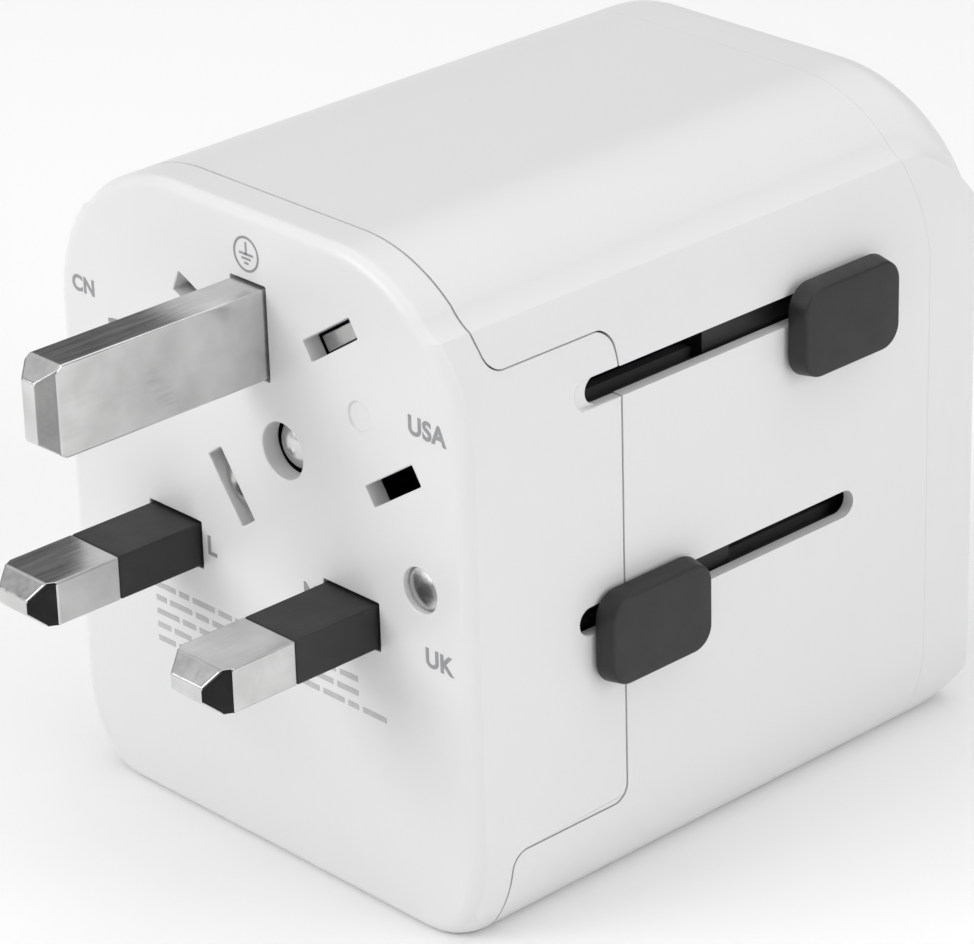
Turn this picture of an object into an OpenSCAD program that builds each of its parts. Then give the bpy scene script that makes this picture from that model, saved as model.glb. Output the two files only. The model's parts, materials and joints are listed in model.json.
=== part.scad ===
// Universal travel adapter: a block-shaped mains adapter with four sliding plug sets.
// Millimetres. +Z up, plug pins point to -Y, rear socket faces +Y, +X is the side with
// the two right-hand sliders. Origin: centre of the underside.

/* [Body] */
// width over the side panels
body_w = 50.8; // [46:0.1:56]
// depth from pin face to socket face
body_d = 62; // [58:0.5:70]
// height from underside to top
body_h = 59; // [54:0.5:64]
// radius of the section's four corners
top_r = 15; // [10:0.5:18]
// height above the underside where the sides start to turn in
low_turn = 8.6; // [5:0.1:12]
// how far the side panels stand out of the core section
panel_step = 0.4; // [0.2:0.1:0.8]
// wall thickness of the shell
wall = 1.8; // [1.4:0.1:2.4]
// wall left outside the slider channels
slot_wall = 1.1; // [0.8:0.1:1.4]
// thickness of the pin face
face_t = 1.8; // [1.4:0.1:2.8]
// edge chamfer of the pin face
face_edge = 0.8; // [0.4:0.1:1.5]
// rounding of the rear edge
rear_r = 3.5; // [3:0.5:7]
// rounding of a side panel's rear corners, seen from the side
panel_r = 7; // [3:0.5:9]
// rounding of a side panel's rear edge, seen from above
panel_rear_r = 2.5; // [1.5:0.5:4]
// seam between front cover and shell, from the pin face
front_seam = 4; // [3:0.5:6]
// rear end of the front cover's side tongues
tongue_end = 17.2; // [15:0.1:20]
// rounding of the tongues' corners
tongue_r = 1.6; // [1:0.1:2.5]
// seam between shell and rear cover
rear_seam = 54.5; // [53:0.5:56]

/* [Plug sets] */
// height of the live-neutral line above the underside
pin_line_z = 26.6; // [24:0.1:30]
// travel of every plug set
travel = 22.9; // [20:0.1:24]
// clearance of a pin in the face
pin_gap = 0.2; // [0.15:0.05:0.4]
// earth pin of the UK plug beyond the face
uk_earth_l = 22.73; // [22:0.01:23]
// live and neutral pins of the UK plug beyond the face
uk_pin_l = 17.7; // [17:0.01:18.2]
// distance from live to neutral, and from earth to their line
uk_pitch = 22.23; // [22:0.01:22.5]
// insulating sleeve beyond the face
sleeve_l = 8.8; // [8:0.1:9.5]
// tilt of the US blades from horizontal
us_tilt = 33; // [0:1:60]
// tilt of the CN set, earth blade from straight down
cn_tilt = 35.5; // [0:0.5:60]
// US live blade beyond the face
us_live_l = 21.1; // [17:0.1:21.5]
// US neutral blade beyond the face
us_neutral_l = 17.5; // [17:0.1:21]
// US earth pin beyond the face
us_earth_l = 22; // [20:0.1:22.4]
// CN live and neutral blades beyond the face
cn_live_l = 21.5; // [17:0.1:22]
// CN earth blade beyond the face
cn_earth_l = 22.4; // [19.5:0.1:22.5]
// EU pins beyond the face
eu_pin_l = 22.5; // [18:0.1:22.6]

/* [Sliders] */
// height of the upper slot above the live-neutral line
slot_hi = 19.6; // [15:0.1:22]
// height of the lower slot above the live-neutral line
slot_lo = -0.5; // [-3:0.1:3]
// width of the slots
slot_w = 2.5; // [2:0.1:3]
// length of a knob along the travel
knob_l = 12.1; // [9:0.1:14]
// height of a knob
knob_h = 8.5; // [7:0.1:10]
// knob centre below its slot
knob_drop = 1.8; // [0:0.1:3]
// how far a knob stands out
knob_t = 2.1; // [1.5:0.1:3]

/* [Rear socket] */
// socket live-neutral line above the pin live-neutral line
rear_line = 1; // [-2:0.5:2]
// travel of the safety shutter
shutter_travel = 7.4; // [6:0.1:8]

/* [Hidden] */
$fn = 64;
eps = 0.01;
face_y = -body_d / 2;
core_x = body_w / 2 - panel_step;
z_top = body_h - pin_line_z;
z_bot = -pin_line_z;
slot_y0 = 12.1;
slot_y1 = 45;
// the upper slots start as a shallow recess
slot_step = 1.5;
recess_depth = 0.5;
ledge_low = 1;
ledge_high = 27;
panel_top = 31.4;
plate_y = 3;
plate_t = 4;
arm_t = 2.2;
stem_y0 = 14.2;
stem_l = 7.5;
stem_h = 1.9;
knob_edge = 0.6;
knob_r = 2;
knob_y0 = 13.4;
strip_x0 = 22.9;
strip_x1 = body_w / 2 - slot_wall - 0.3;
strip_y0 = 5;
strip_l = 26;
strip_h = 4;
pocket_h = 4.8;
pocket_y0 = 4.4;
pocket_l = 51.4;
side_reach = core_x - wall - 0.1;
// black guide behind each slot, and the link that passes through its slit
guide_x0 = 21.6;
guide_x1 = body_w / 2 - slot_wall - 0.05;
guide_y0 = 4.6;
guide_y1 = 54.3;
guide_h = 4.7;
guide_wall = 0.3;
guide_back = 1;
slit_h = 2.2;
slit_gap = 0.3;
link_h = 1.8;
link_x = 21.3;
link_y0 = 5;
uk_link_y = 28.2;
uk_link_t = 2.2;
tongue_z0 = -18.5;
tongue_z1 = 23.9;
white = [0.93, 0.93, 0.92];
black = [0.07, 0.07, 0.07];
metal = [0.78, 0.77, 0.74];
brass = [0.78, 0.62, 0.32];
steel = [0.6, 0.6, 0.62];

// ---------- helpers: face frame has X across, Y into the body, Z from the pin line ----------

module at_face() {
    translate([0, face_y, pin_line_z])
        children();
}

// extrudes an X-Z drawing from y0 to y1 of the face frame
module slab(y0, y1) {
    translate([0, y1, 0])
        rotate([90, 0, 0])
            linear_extrude(height = y1 - y0)
                children();
}

module box(x0, x1, y0, y1, z0, z1) {
    translate([x0, y0, z0])
        cube([x1 - x0, y1 - y0, z1 - z0]);
}

module rect(x0, x1, z0, z1) {
    translate([x0, z0])
        square([x1 - x0, z1 - z0]);
}

module round_rect(x0, x1, z0, z1, r) {
    rect(x0 + r, x1 - r, z0, z1);
    rect(x0, x1, z0 + r, z1 - r);
    for (x = [x0 + r, x1 - r], z = [z0 + r, z1 - r])
        translate([x, z])
            circle(r = r);
}

// closed section with rounded corners cut off flat at the underside, inset by g
module section(half_w, z_lo, z_hi, r, g) {
    turn_z = z_lo + low_turn;
    rect(-half_w + r, half_w - r, z_lo + g, z_hi - g);
    rect(-half_w + g, half_w - g, turn_z, z_hi - r);
    for (s = [-1, 1]) {
        translate([s * (half_w - r), z_hi - r])
            circle(r = r - g);
        intersection() {
            translate([s * (half_w - r), turn_z])
                circle(r = r - g);
            rect(-half_w, half_w, z_lo + g, turn_z + eps);
        }
    }
}

module core_section(g) {
    section(core_x, z_bot, z_top, top_r, g);
}

// side panels stand out of the core section between two ledges
module panel_section(g) {
    intersection() {
        section(body_w / 2, z_bot - 0.1, panel_top, top_r - 1.6, g);
        rect(-body_w, body_w, z_bot + ledge_low, ledge_high);
    }
}

module outer_section() {
    core_section(0);
    panel_section(0);
}

module slot_2d(y0, z) {
    r = slot_w / 2;
    rect(y0 + r, slot_y1 - r, z - r, z + r);
    for (y = [y0 + r, slot_y1 - r])
        translate([y, z])
            circle(r = r);
}

// both slider slots and the channels behind them, on both sides
module slider_slots() {
    channel_x = body_w / 2 - slot_wall;
    for (s = [-1, 1]) {
        side_prism(s, 20, 30)
            slot_2d(slot_y0 + slot_step, slot_hi);
        side_prism(s, body_w / 2 - recess_depth, 30)
            slot_2d(slot_y0, slot_hi);
        side_prism(s, 20, 30)
            slot_2d(slot_y0, slot_lo);
        for (z = [slot_hi, slot_lo])
            side_prism(s, 20, channel_x)
                rect(pocket_y0, pocket_y0 + pocket_l, z - pocket_h / 2, z + pocket_h / 2);
    }
}

// the tongue of the front cover as seen from the side, with a fillet where it leaves the seam
module tongue_2d(g) {
    round_rect(front_seam - 5, tongue_end + g, tongue_z0 - g, tongue_z1 + g, tongue_r);
    for (k = [[tongue_z1 + g, 0], [tongue_z0 - g, 1]])
        translate([front_seam + g, k[0]])
            mirror([0, k[1]])
                difference() {
                    translate([-1, -1])
                        square(tongue_r - g + 1);
                    translate([tongue_r - g, tongue_r - g])
                        circle(r = tongue_r - g);
                }
}

module side_prism(s, x0, x1) {
    translate([s > 0 ? x0 : -x1, 0, 0])
        rotate([90, 0, 90])
            linear_extrude(height = x1 - x0)
                children();
}

// cuts one 2D drawing through the pin face
module through_face() {
    slab(-1, face_t + 1)
        children();
}

// UK pins: half pitch, earth pin and mains pin sections, core inside the sleeve
uk_x = uk_pitch / 2;
uk_earth_w = 4;
uk_earth_h = 8;
uk_pin_w = 6.35;
uk_pin_h = 4;
uk_core_w = 5.4;
uk_core_h = 3;
// centre of the US blades, and of the CN set, on the face
us_c = [13.28, 18.75];
cn_c = [-9.46, 15.23];
eu_c1 = [19.5, 5.1];
eu_c2 = [3.05, -4.15];
eu_pin_r = 1.9;
hole_gap = 0.1;
// flat blades: width, thickness, and places about the centre of their set
blade_w = 6.35;
us_blade_t = 1.5;
us_blade_z = 6.35;
us_earth_x = -11.86;
us_earth_r = 2.4;
cn_blade_t = 1.6;
cn_live_x = 6.86;
cn_live_z = 3.96;
cn_earth_z = -10.31;
// dome radius over pin radius: US earth pin, flatter EU pins
us_dome = 1.3;
eu_dome = 6;
// radius of the CN earth blade's round tip
cn_tip_r = 4;

module us_place() {
    translate(us_c)
        rotate(us_tilt)
            children();
}

module cn_place() {
    translate(cn_c)
        rotate(cn_tilt)
            children();
}

module blade_2d(l, t, g) {
    square([l + 2 * g, t + 2 * g], center = true);
}

module us_blade_2d(k, g) {
    us_place()
        translate([0, k * us_blade_z])
            blade_2d(blade_w, us_blade_t, g);
}

module cn_live_2d(k, g) {
    cn_place()
        translate([k * cn_live_x, cn_live_z])
            rotate(-k * 60)
                blade_2d(blade_w, cn_blade_t, g);
}

module cn_earth_2d(g) {
    cn_place()
        translate([0, cn_earth_z])
            rotate(90)
                blade_2d(blade_w, cn_blade_t, g);
}

module us_earth_2d(r) {
    us_place()
        translate([us_earth_x, 0])
            rotate(-us_tilt)
                circle(r = r);
}

// ---------- housing ----------

module face_openings() {
    through_face() {
        translate([0, uk_pitch])
            blade_2d(uk_earth_w, uk_earth_h, pin_gap);
        for (s = [-1, 1]) {
            translate([s * uk_x, 0])
                blade_2d(uk_pin_w, uk_pin_h, pin_gap);
            us_blade_2d(s, pin_gap);
            cn_live_2d(s, pin_gap);
        }
        us_earth_2d(us_earth_r + hole_gap);
        cn_earth_2d(pin_gap);
        for (c = [eu_c1, eu_c2])
            translate(c)
                circle(r = eu_pin_r + hole_gap);
    }
}

module front_cover() {
    color(white)
        at_face() {
            difference() {
                union() {
                    hull() {
                        slab(0, eps)
                            core_section(face_edge);
                        slab(face_edge, face_edge + eps)
                            outer_section();
                    }
                    slab(face_edge, face_t)
                        outer_section();
                    difference() {
                        slab(face_t, front_seam)
                            outer_section();
                        slab(face_t - 1, front_seam + 1)
                            core_section(wall);
                    }
                    difference() {
                        intersection() {
                            slab(face_t, tongue_end)
                                outer_section();
                            for (s = [-1, 1])
                                side_prism(s, 15, 30)
                                    tongue_2d(0);
                        }
                        slab(face_t - 1, tongue_end + 1)
                            core_section(wall);
                    }
                    for (z = [29.3, z_bot + wall + 0.1])
                        box(-7, 7, face_t, front_seam + 2.5, z, z + 1.2);
                }
                face_openings();
                slider_slots();
                translate([us_c[0] - 0.3, -1, us_c[1] - 0.4])
                    rotate([-90, 0, 0])
                        cylinder(r = 1.3, h = 1.2);
            }
        }
}

screw_xz = [[13.5, 25.5], [-13.5, 25.5], [19.8, -9.5], [-19.8, -9.5]];
// rib directions from each screw boss to the wall
screw_rib = [66.5, 113.5, 0, 180];

module main_shell() {
    color(white)
        at_face() {
            difference() {
                union() {
                    difference() {
                        slab(front_seam + 0.1, rear_seam)
                            outer_section();
                        slab(0, body_d)
                            core_section(wall);
                    }
                    for (i = [0:3])
                        slab(42, rear_seam)
                            translate(screw_xz[i]) {
                                circle(r = 2.6);
                                rotate(screw_rib[i])
                                    rect(0, 5, -0.8, 0.8);
                            }
                    // posts under the circuit board
                    for (x = [-16, 16], y = [12, 42])
                        translate([x, y, z_bot + 1])
                            cylinder(r = 2, h = 3.25);
                }
                for (s = [-1, 1])
                    side_prism(s, 15, 30)
                        tongue_2d(0.1);
                slider_slots();
                for (p = screw_xz)
                    translate([p[0], 44, p[1]])
                        rotate([-90, 0, 0])
                            cylinder(r = 1.1, h = 12);
            }
        }
}

// rear socket aperture for one contact: UK slot, round pin hole and flat blade slot
module live_aperture(s) {
    rect(s * uk_x - 3.5, s * uk_x + 3.5, rear_line - 2.4, rear_line + 2.4);
    translate([s * 9.5, rear_line])
        circle(r = 2.6);
    rect(s * 6.35 - 1.1, s * 6.35 + 1.1, rear_line - 3.7, rear_line + 3.7);
}

rear_earth_z = rear_line + uk_pitch;
usb_x = 10.2;
usb_z = -17.4;

module rear_solid() {
    for (i = [0:2]) {
        a0 = 30 * i;
        a1 = 30 * (i + 1);
        hull() {
            slab(body_d - rear_r + rear_r * sin(a0) - eps, body_d - rear_r + rear_r * sin(a0))
                core_section(rear_r * (1 - cos(a0)));
            slab(body_d - rear_r + rear_r * sin(a1) - eps, body_d - rear_r + rear_r * sin(a1))
                core_section(rear_r * (1 - cos(a1)));
        }
    }
    slab(rear_seam + 0.1, body_d - rear_r)
        outer_section();
    // side panels, rounded in side view and in plan at the rear
    intersection() {
        slab(rear_seam + 0.1, body_d)
            panel_section(0);
        for (s = [-1, 1])
            side_prism(s, 0, 30)
                round_rect(rear_seam - 10, body_d, z_bot + ledge_low, ledge_high, panel_r);
        translate([0, 0, z_bot])
            linear_extrude(height = body_h)
                round_rect(-body_w / 2, body_w / 2, rear_seam - 10, body_d, panel_rear_r);
    }
}

module rear_cover() {
    color(white)
        at_face() {
            difference() {
                rear_solid();
                slab(rear_seam - 1, 57)
                    core_section(wall);
                slab(rear_seam, 59.7)
                    core_section(4.2);
                slider_slots();
                slab(59, body_d + 1) {
                    for (s = [-1, 1]) {
                        live_aperture(s);
                        round_rect(s * usb_x - 6.8, s * usb_x + 6.8, usb_z - 3.1, usb_z + 3.1, 0.6);
                    }
                    rect(-2.3, 2.3, rear_earth_z - 4.3, rear_earth_z + 4.3);
                }
                translate([19.3, 55, -17])
                    rotate([-90, 0, 0])
                        cylinder(r = 1.55, h = 9);
                for (p = screw_xz)
                    translate([p[0], 0, p[1]])
                        rotate([-90, 0, 0]) {
                            translate([0, 0, 55])
                                cylinder(r = 1.2, h = 9);
                            translate([0, 0, 60.2])
                                cylinder(r = 2.2, h = 4);
                        }
            }
            // seat of the shutter spring
            box(-2.2, 2.2, 56.4, 60, -16.6, -15.6);
            for (p = screw_xz)
                translate([p[0], rear_seam + 0.1, p[1]])
                    rotate([-90, 0, 0])
                        difference() {
                            cylinder(r = 2.6, h = 5.6);
                            translate([0, 0, -1])
                                cylinder(r = 1.2, h = 9);
                        }
        }
}

module screw(i) {
    color(steel)
        at_face()
            translate([screw_xz[i][0], 0, screw_xz[i][1]])
                rotate([-90, 0, 0])
                    difference() {
                        union() {
                            translate([0, 0, 46])
                                cylinder(r = 1.05, h = 14.4);
                            translate([0, 0, 60.25])
                                cylinder(r = 1.95, h = 1.2);
                        }
                        for (a = [0, 90])
                            rotate(a)
                                translate([-1.2, -0.25, 60.8])
                                    cube([2.4, 0.5, 1]);
                    }
}

module screw_1() {
    screw(0);
}

module screw_2() {
    screw(1);
}

module screw_3() {
    screw(2);
}

module screw_4() {
    screw(3);
}

// ---------- rear socket ----------

module socket_housing() {
    color(black)
        at_face() {
            difference() {
                union() {
                    box(-15.5, 15.5, 34, 57.5, -3.6, 7.6);
                    box(-6, 6, 34, 57.5, 7, 28.2);
                }
                for (s = [-1, 1]) {
                    box(s > 0 ? 4.8 : -14.8, s > 0 ? 14.8 : -4.8, 39.4, 58, -2.9, 6);
                    box(s > 0 ? 7.9 : -14.1, s > 0 ? 14.1 : -7.9, 33, 40, 4.5, 5.5);
                }
                box(-3, 3, 39.4, 58, 18.4, 27.6);
                box(-1.6, 1.6, 39.4, 41.2, 27, 29);
            }
            // arms that rest against the side walls
            for (s = [-1, 1])
                box(s > 0 ? 15 : -side_reach, s > 0 ? side_reach : -15, 35, 39, 5, 7);
        }
}

// one mains contact: forward rail, web and two leaves
module busbar(s) {
    color(brass)
        at_face() {
            x0 = s > 0 ? 8 : -14;
            c0 = s > 0 ? 5.2 : -14.6;
            box(x0, x0 + 6, 8, 40.4, 4.6, 5.4);
            box(x0, x0 + 6, 39.6, 40.4, -1.8, 5.4);
            for (z = [rear_line - 2.65, rear_line + 2.15])
                box(c0, c0 + 9.4, 39.6, 56, z, z + 0.5);
        }
}

module live_busbar() {
    busbar(-1);
}

module neutral_busbar() {
    busbar(1);
}

module earth_busbar() {
    color(brass)
        at_face() {
            box(-4, 4, 8, 40.4, 28.8, 29.6);
            box(-1.4, 1.4, 39.6, 40.4, 19, 29);
            for (x = [-2.65, 2.15])
                box(x, x + 0.5, 39.6, 56, 19, 27.2);
            box(-2.65, 2.65, 39.6, 40.4, 19, 27.2);
        }
}

module shutter() {
    color(black)
        at_face() {
            box(-14.8, 14.8, 57.9, 59.4, -3.6, 5.2);
            box(-2.2, 2.2, 57.9, 59.4, -4.6, -3);
            for (x = [-14.8, 13.6])
                box(x, x + 1.2, 57.9, 59.4, -6.4, -3);
        }
}

module shutter_spring() {
    color(steel)
        at_face()
            translate([0, 58.1, -15.3])
                for (i = [0:7])
                    translate([0, 0, i * 1.5])
                        rotate_extrude()
                            translate([1.3, 0])
                                circle(r = 0.2, $fn = 16);
}

// ---------- USB supply ----------

module circuit_board() {
    color([0.05, 0.3, 0.14])
        at_face()
            difference() {
                box(-19.4, 19.4, 8, 56.6, -22.3, -20.7);
                for (x = [-16, 16], y = [12, 42])
                    translate([x, y, -23])
                        cylinder(r = 1.1, h = 3);
            }
}

module usb_port(s) {
    color(metal)
        at_face()
            translate([s * usb_x, 0, usb_z])
                difference() {
                    box(-6.6, 6.6, 47, 61.4, -2.9, 2.9);
                    difference() {
                        box(-6.2, 6.2, 48, 62, -2.5, 2.5);
                        box(-5.6, 5.6, 47.5, 60.4, 0.1, 2);
                    }
                }
}

module usb_port_1() {
    usb_port(-1);
}

module usb_port_2() {
    usb_port(1);
}

module transformer() {
    color([0.85, 0.75, 0.2])
        at_face() {
            box(-15, 1, 14, 30, -20.6, -18.6);
            box(-13, -1, 15, 29, -18.7, -12.2);
            box(-15, 1, 14, 30, -12.3, -10.3);
        }
}

module capacitor() {
    color([0.1, 0.12, 0.3])
        at_face()
            translate([10, 11, -16.1])
                rotate([-90, 0, 0])
                    cylinder(r = 4.4, h = 18);
}

module fuse() {
    color([0.85, 0.82, 0.75])
        at_face()
            translate([-12, 38, -17.4])
                rotate([0, 90, 0]) {
                    translate([0, 0, 4])
                        cylinder(r = 2.9, h = 16);
                    cylinder(r = 3.15, h = 5);
                    translate([0, 0, 19])
                        cylinder(r = 3.15, h = 5);
                }
}

module indicator_led() {
    color([0.2, 0.45, 0.95])
        at_face()
            translate([19.3, 0, -17])
                rotate([-90, 0, 0]) {
                    translate([0, 0, 56.8])
                        cylinder(r = 1.45, h = 4);
                    translate([0, 0, 60.8])
                        sphere(r = 1.45);
                }
}

// ---------- shared slider pieces ----------

// drawn at the pins-out position; shift moves it along the travel
module side_strip(s, z, shift) {
    color(black)
        at_face()
            side_prism(s, strip_x0, strip_x1)
                translate([strip_y0 + shift, z - strip_h / 2])
                    square([strip_l, strip_h]);
}

// fixed channel that the strip slides in, with a slit for the carriage's link
module guide(s, z, slit_y0, slit_y1) {
    color(black)
        at_face()
            difference() {
                side_prism(s, guide_x0, guide_x1)
                    rect(guide_y0, guide_y1, z - guide_h / 2, z + guide_h / 2);
                side_prism(s, guide_x0 + guide_back, guide_x1 + 1)
                    rect(guide_y0 - 1, guide_y1 + 1, z - guide_h / 2 + guide_wall,
                        z + guide_h / 2 - guide_wall);
                side_prism(s, guide_x0 - 1, guide_x1 + 1)
                    rect(slit_y0, slit_y1, z - slit_h / 2, z + slit_h / 2);
            }
}

module knob(s, z, shift) {
    stem_x = strip_x1;
    cap_x = body_w / 2 + 0.3;
    color(black)
        at_face()
            translate([0, shift, 0]) {
                // cap in two steps, the outer one smaller
                for (g = [0, knob_edge])
                    side_prism(s, cap_x, cap_x + knob_t - knob_edge + g)
                        round_rect(knob_y0 + g, knob_y0 + knob_l - g, z - knob_drop - knob_h / 2 + g,
                            z - knob_drop + knob_h / 2 - g, knob_r - g);
                side_prism(s, stem_x, cap_x + knob_edge)
                    rect(stem_y0, stem_y0 + stem_l, z - stem_h / 2, z + stem_h / 2);
            }
}

module carriage(shift) {
    color(black)
        at_face()
            translate([0, shift, 0])
                children();
}

module uk_guide() {
    guide(1, slot_lo, uk_link_y - slit_gap, uk_link_y + uk_link_t + travel + slit_gap);
}

module us_guide() {
    guide(1, slot_hi, guide_y0 - 1, plate_y + plate_t + travel + slit_gap);
}

module cn_guide() {
    guide(-1, slot_hi, guide_y0 - 1, plate_y + plate_t + travel + slit_gap);
}

module eu_guide() {
    guide(-1, slot_lo, guide_y0 - 1, plate_y + plate_t + travel + slit_gap);
}

// ---------- UK plug set, drawn with its pins out ----------

// holder of the three pins and the bent arm between them, one slab per straight piece
module uk_carriage() {
    carriage(0)
        difference() {
            union() {
                slab(plate_y, plate_y + plate_t)
                    rect(-2, 3.6, 17.55, 27.2);
                slab(plate_y, plate_y + plate_t)
                    polygon([[-3.6, 14.15], [-1.1, 14.15], [1.9, 17.6], [-2, 17.6]]);
                slab(plate_y, plate_y + plate_t)
                    polygon([[-3.1, 11.1], [-1.1, 11.1], [-1.1, 14.2], [-3.6, 14.2], [-3.9, 13.2]]);
                slab(plate_y, plate_y + plate_t)
                    polygon([[0.8, 4.75], [5.5, 4.75], [5.5, 6.2], [-1.1, 10.4], [-1.1, 11.15], [-3.1, 11.15]]);
                slab(plate_y, plate_y + plate_t)
                    rect(0.8, 5.5, 1.6, 4.8);
                slab(plate_y, plate_y + plate_t)
                    rect(-6.9, 6.4, -0.6, 1.7);
                slab(plate_y, plate_y + plate_t)
                    rect(-15.2, -6.8, -3, 2.6);
                slab(plate_y, plate_y + plate_t)
                    rect(6.3, 16, -3, 3.2);
            }
            slab(0, 20) {
                rect(-2.1, uk_earth_w / 2, uk_pitch - uk_earth_h / 2, uk_pitch + uk_earth_h / 2);
                for (s = [-1, 1])
                    translate([s * uk_x, 0])
                        blade_2d(uk_core_w, uk_core_h, 0);
            }
            slab(0, plate_y + 1)
                for (s = [-1, 1])
                    translate([s * uk_x, 0])
                        blade_2d(uk_pin_w, uk_pin_h, 0);
        }
}

// pin along Y from the tip to y_back, tapered at the tip
module tapered_pin(w, h, l, y_back, tip_w, tip_h, taper_w, taper_h) {
    intersection() {
        translate([0, 0, -h])
            linear_extrude(height = 2 * h)
                polygon([[-tip_w / 2, -l], [tip_w / 2, -l], [w / 2, taper_w - l], [w / 2, y_back],
                    [-w / 2, y_back], [-w / 2, taper_w - l]]);
        rotate([90, 0, 90])
            translate([0, 0, -w])
                linear_extrude(height = 2 * w)
                    polygon([[-l, -tip_h / 2], [taper_h - l, -h / 2], [y_back, -h / 2], [y_back, h / 2],
                        [taper_h - l, h / 2], [-l, tip_h / 2]]);
    }
}

// arm from the plate back to the strip, clear of the EU set's path
module uk_link() {
    carriage(0) {
        link_z = slot_lo - link_h / 2;
        box(16, 17.6, plate_y, uk_link_y + uk_link_t, link_z, link_z + link_h);
        box(17.6, strip_x0, uk_link_y, uk_link_y + uk_link_t, link_z, link_z + link_h);
    }
}

module uk_strip() {
    side_strip(1, slot_lo, 0);
}

module uk_earth_pin() {
    color(metal)
        at_face()
            translate([0, 0, uk_pitch])
                tapered_pin(uk_earth_w, uk_earth_h, uk_earth_l, 9, 1.7, 5.3, 1.35, 1.85);
}

module uk_mains_pin(s) {
    color(metal)
        at_face()
            translate([s * uk_x, 0, 0])
                difference() {
                    tapered_pin(uk_pin_w, uk_pin_h, uk_pin_l, 9, 3.9, 1.3, 2.3, 1.5);
                    slab(-sleeve_l, 10)
                        difference() {
                            blade_2d(uk_pin_w, uk_pin_h, 1);
                            blade_2d(uk_core_w, uk_core_h, 0);
                        }
                }
}

module uk_live_pin() {
    uk_mains_pin(-1);
}

module uk_neutral_pin() {
    uk_mains_pin(1);
}

module uk_sleeve(s) {
    color(black)
        at_face()
            translate([s * uk_x, 0, 0])
                slab(-sleeve_l, plate_y + 1)
                    difference() {
                        blade_2d(uk_pin_w, uk_pin_h, 0);
                        blade_2d(uk_core_w, uk_core_h, 0);
                    }
}

module uk_live_sleeve() {
    uk_sleeve(-1);
}

module uk_neutral_sleeve() {
    uk_sleeve(1);
}

module uk_knob() {
    knob(1, slot_lo, 0);
}

// ---------- US plug set, drawn retracted ----------

module us_carriage() {
    carriage(travel)
        difference() {
            union() {
                slab(plate_y, plate_y + plate_t) {
                    us_earth_2d(us_earth_r + 0.9);
                    us_place() {
                        rect(us_earth_x, 0, -2.2, 2.2);
                        rect(-4.1, 4.1, -8.1, 8.1);
                    }
                    rect(17, link_x, 17.6, 21.6);
                }
                slab(link_y0, plate_y + plate_t)
                    rect(17, strip_x0, slot_hi - link_h / 2, slot_hi + link_h / 2);
            }
            slab(0, 20) {
                us_earth_2d(us_earth_r);
                for (k = [-1, 1])
                    us_blade_2d(k, 0);
            }
        }
}

module us_strip() {
    side_strip(1, slot_hi, travel);
}

// one flat blade; children give its section
module flat_blade(l, shift) {
    color(metal)
        at_face()
            translate([0, shift, 0])
                slab(-l, plate_y + 6)
                    children();
}

module us_live_blade() {
    flat_blade(us_live_l, travel)
        us_blade_2d(1, 0);
}

module us_neutral_blade() {
    flat_blade(us_neutral_l, travel)
        us_blade_2d(-1, 0);
}

// round pin of length l beyond the face, its domed tip of radius dome
module round_pin(c, r, l, dome) {
    color(metal)
        at_face()
            translate([c[0], travel - l, c[1]])
                rotate([-90, 0, 0])
                    intersection() {
                        cylinder(r = r, h = l + plate_y + 6);
                        translate([0, 0, dome])
                            union() {
                                sphere(r = dome);
                                cylinder(r = dome, h = l + plate_y + 6);
                            }
                    }
}

module us_earth_pin() {
    round_pin(us_c + us_earth_x * [cos(us_tilt), sin(us_tilt)], us_earth_r, us_earth_l,
        us_dome * us_earth_r);
}

module us_knob() {
    knob(1, slot_hi, travel);
}

// ---------- CN plug set, drawn retracted ----------

module cn_carriage() {
    carriage(travel)
        difference() {
            union() {
                slab(plate_y, plate_y + plate_t) {
                    cn_place() {
                        rect(-1.7, 1.7, -14.4, -6);
                        rect(-2.2, 2.2, -7, 4);
                        rect(-7.5, 7, 1.6, 5.4);
                        translate([-6.86, 3.96])
                            rotate(60)
                                square([8.2, 3.4], center = true);
                        translate([6.86, 3.96])
                            rotate(-60)
                                rect(-3.9, 3.3, -2.6, 1.1);
                    }
                    rect(-link_x, -15, 17.6, 21.6);
                    rect(-18, -10, 14, 20);
                }
                slab(link_y0, plate_y + plate_t)
                    rect(-strip_x0, -15, slot_hi - link_h / 2, slot_hi + link_h / 2);
            }
            slab(0, 20) {
                cn_earth_2d(0);
                for (k = [-1, 1])
                    cn_live_2d(k, 0);
            }
        }
}

module cn_strip() {
    side_strip(-1, slot_hi, travel);
}

module cn_live_blade() {
    flat_blade(cn_live_l, travel)
        cn_live_2d(1, 0);
}

module cn_neutral_blade() {
    flat_blade(cn_live_l, travel)
        cn_live_2d(-1, 0);
}

module cn_earth_blade() {
    c = cn_c + cn_earth_z * [-sin(cn_tilt), cos(cn_tilt)];
    back = plate_y + 6;
    color(metal)
        at_face()
            translate([c[0], travel, c[1]])
                rotate([0, -90 - cn_tilt, 0])
                    translate([0, 0, -cn_blade_t / 2])
                        linear_extrude(height = cn_blade_t)
                            intersection() {
                                rect(-blade_w / 2, blade_w / 2, -cn_earth_l, back);
                                translate([0, cn_tip_r - cn_earth_l])
                                    union() {
                                        circle(r = cn_tip_r);
                                        rect(-cn_tip_r, cn_tip_r, 0, cn_earth_l + back);
                                    }
                            }
}

module cn_knob() {
    knob(-1, slot_hi, travel);
}

// ---------- EU plug set, drawn retracted ----------

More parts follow.
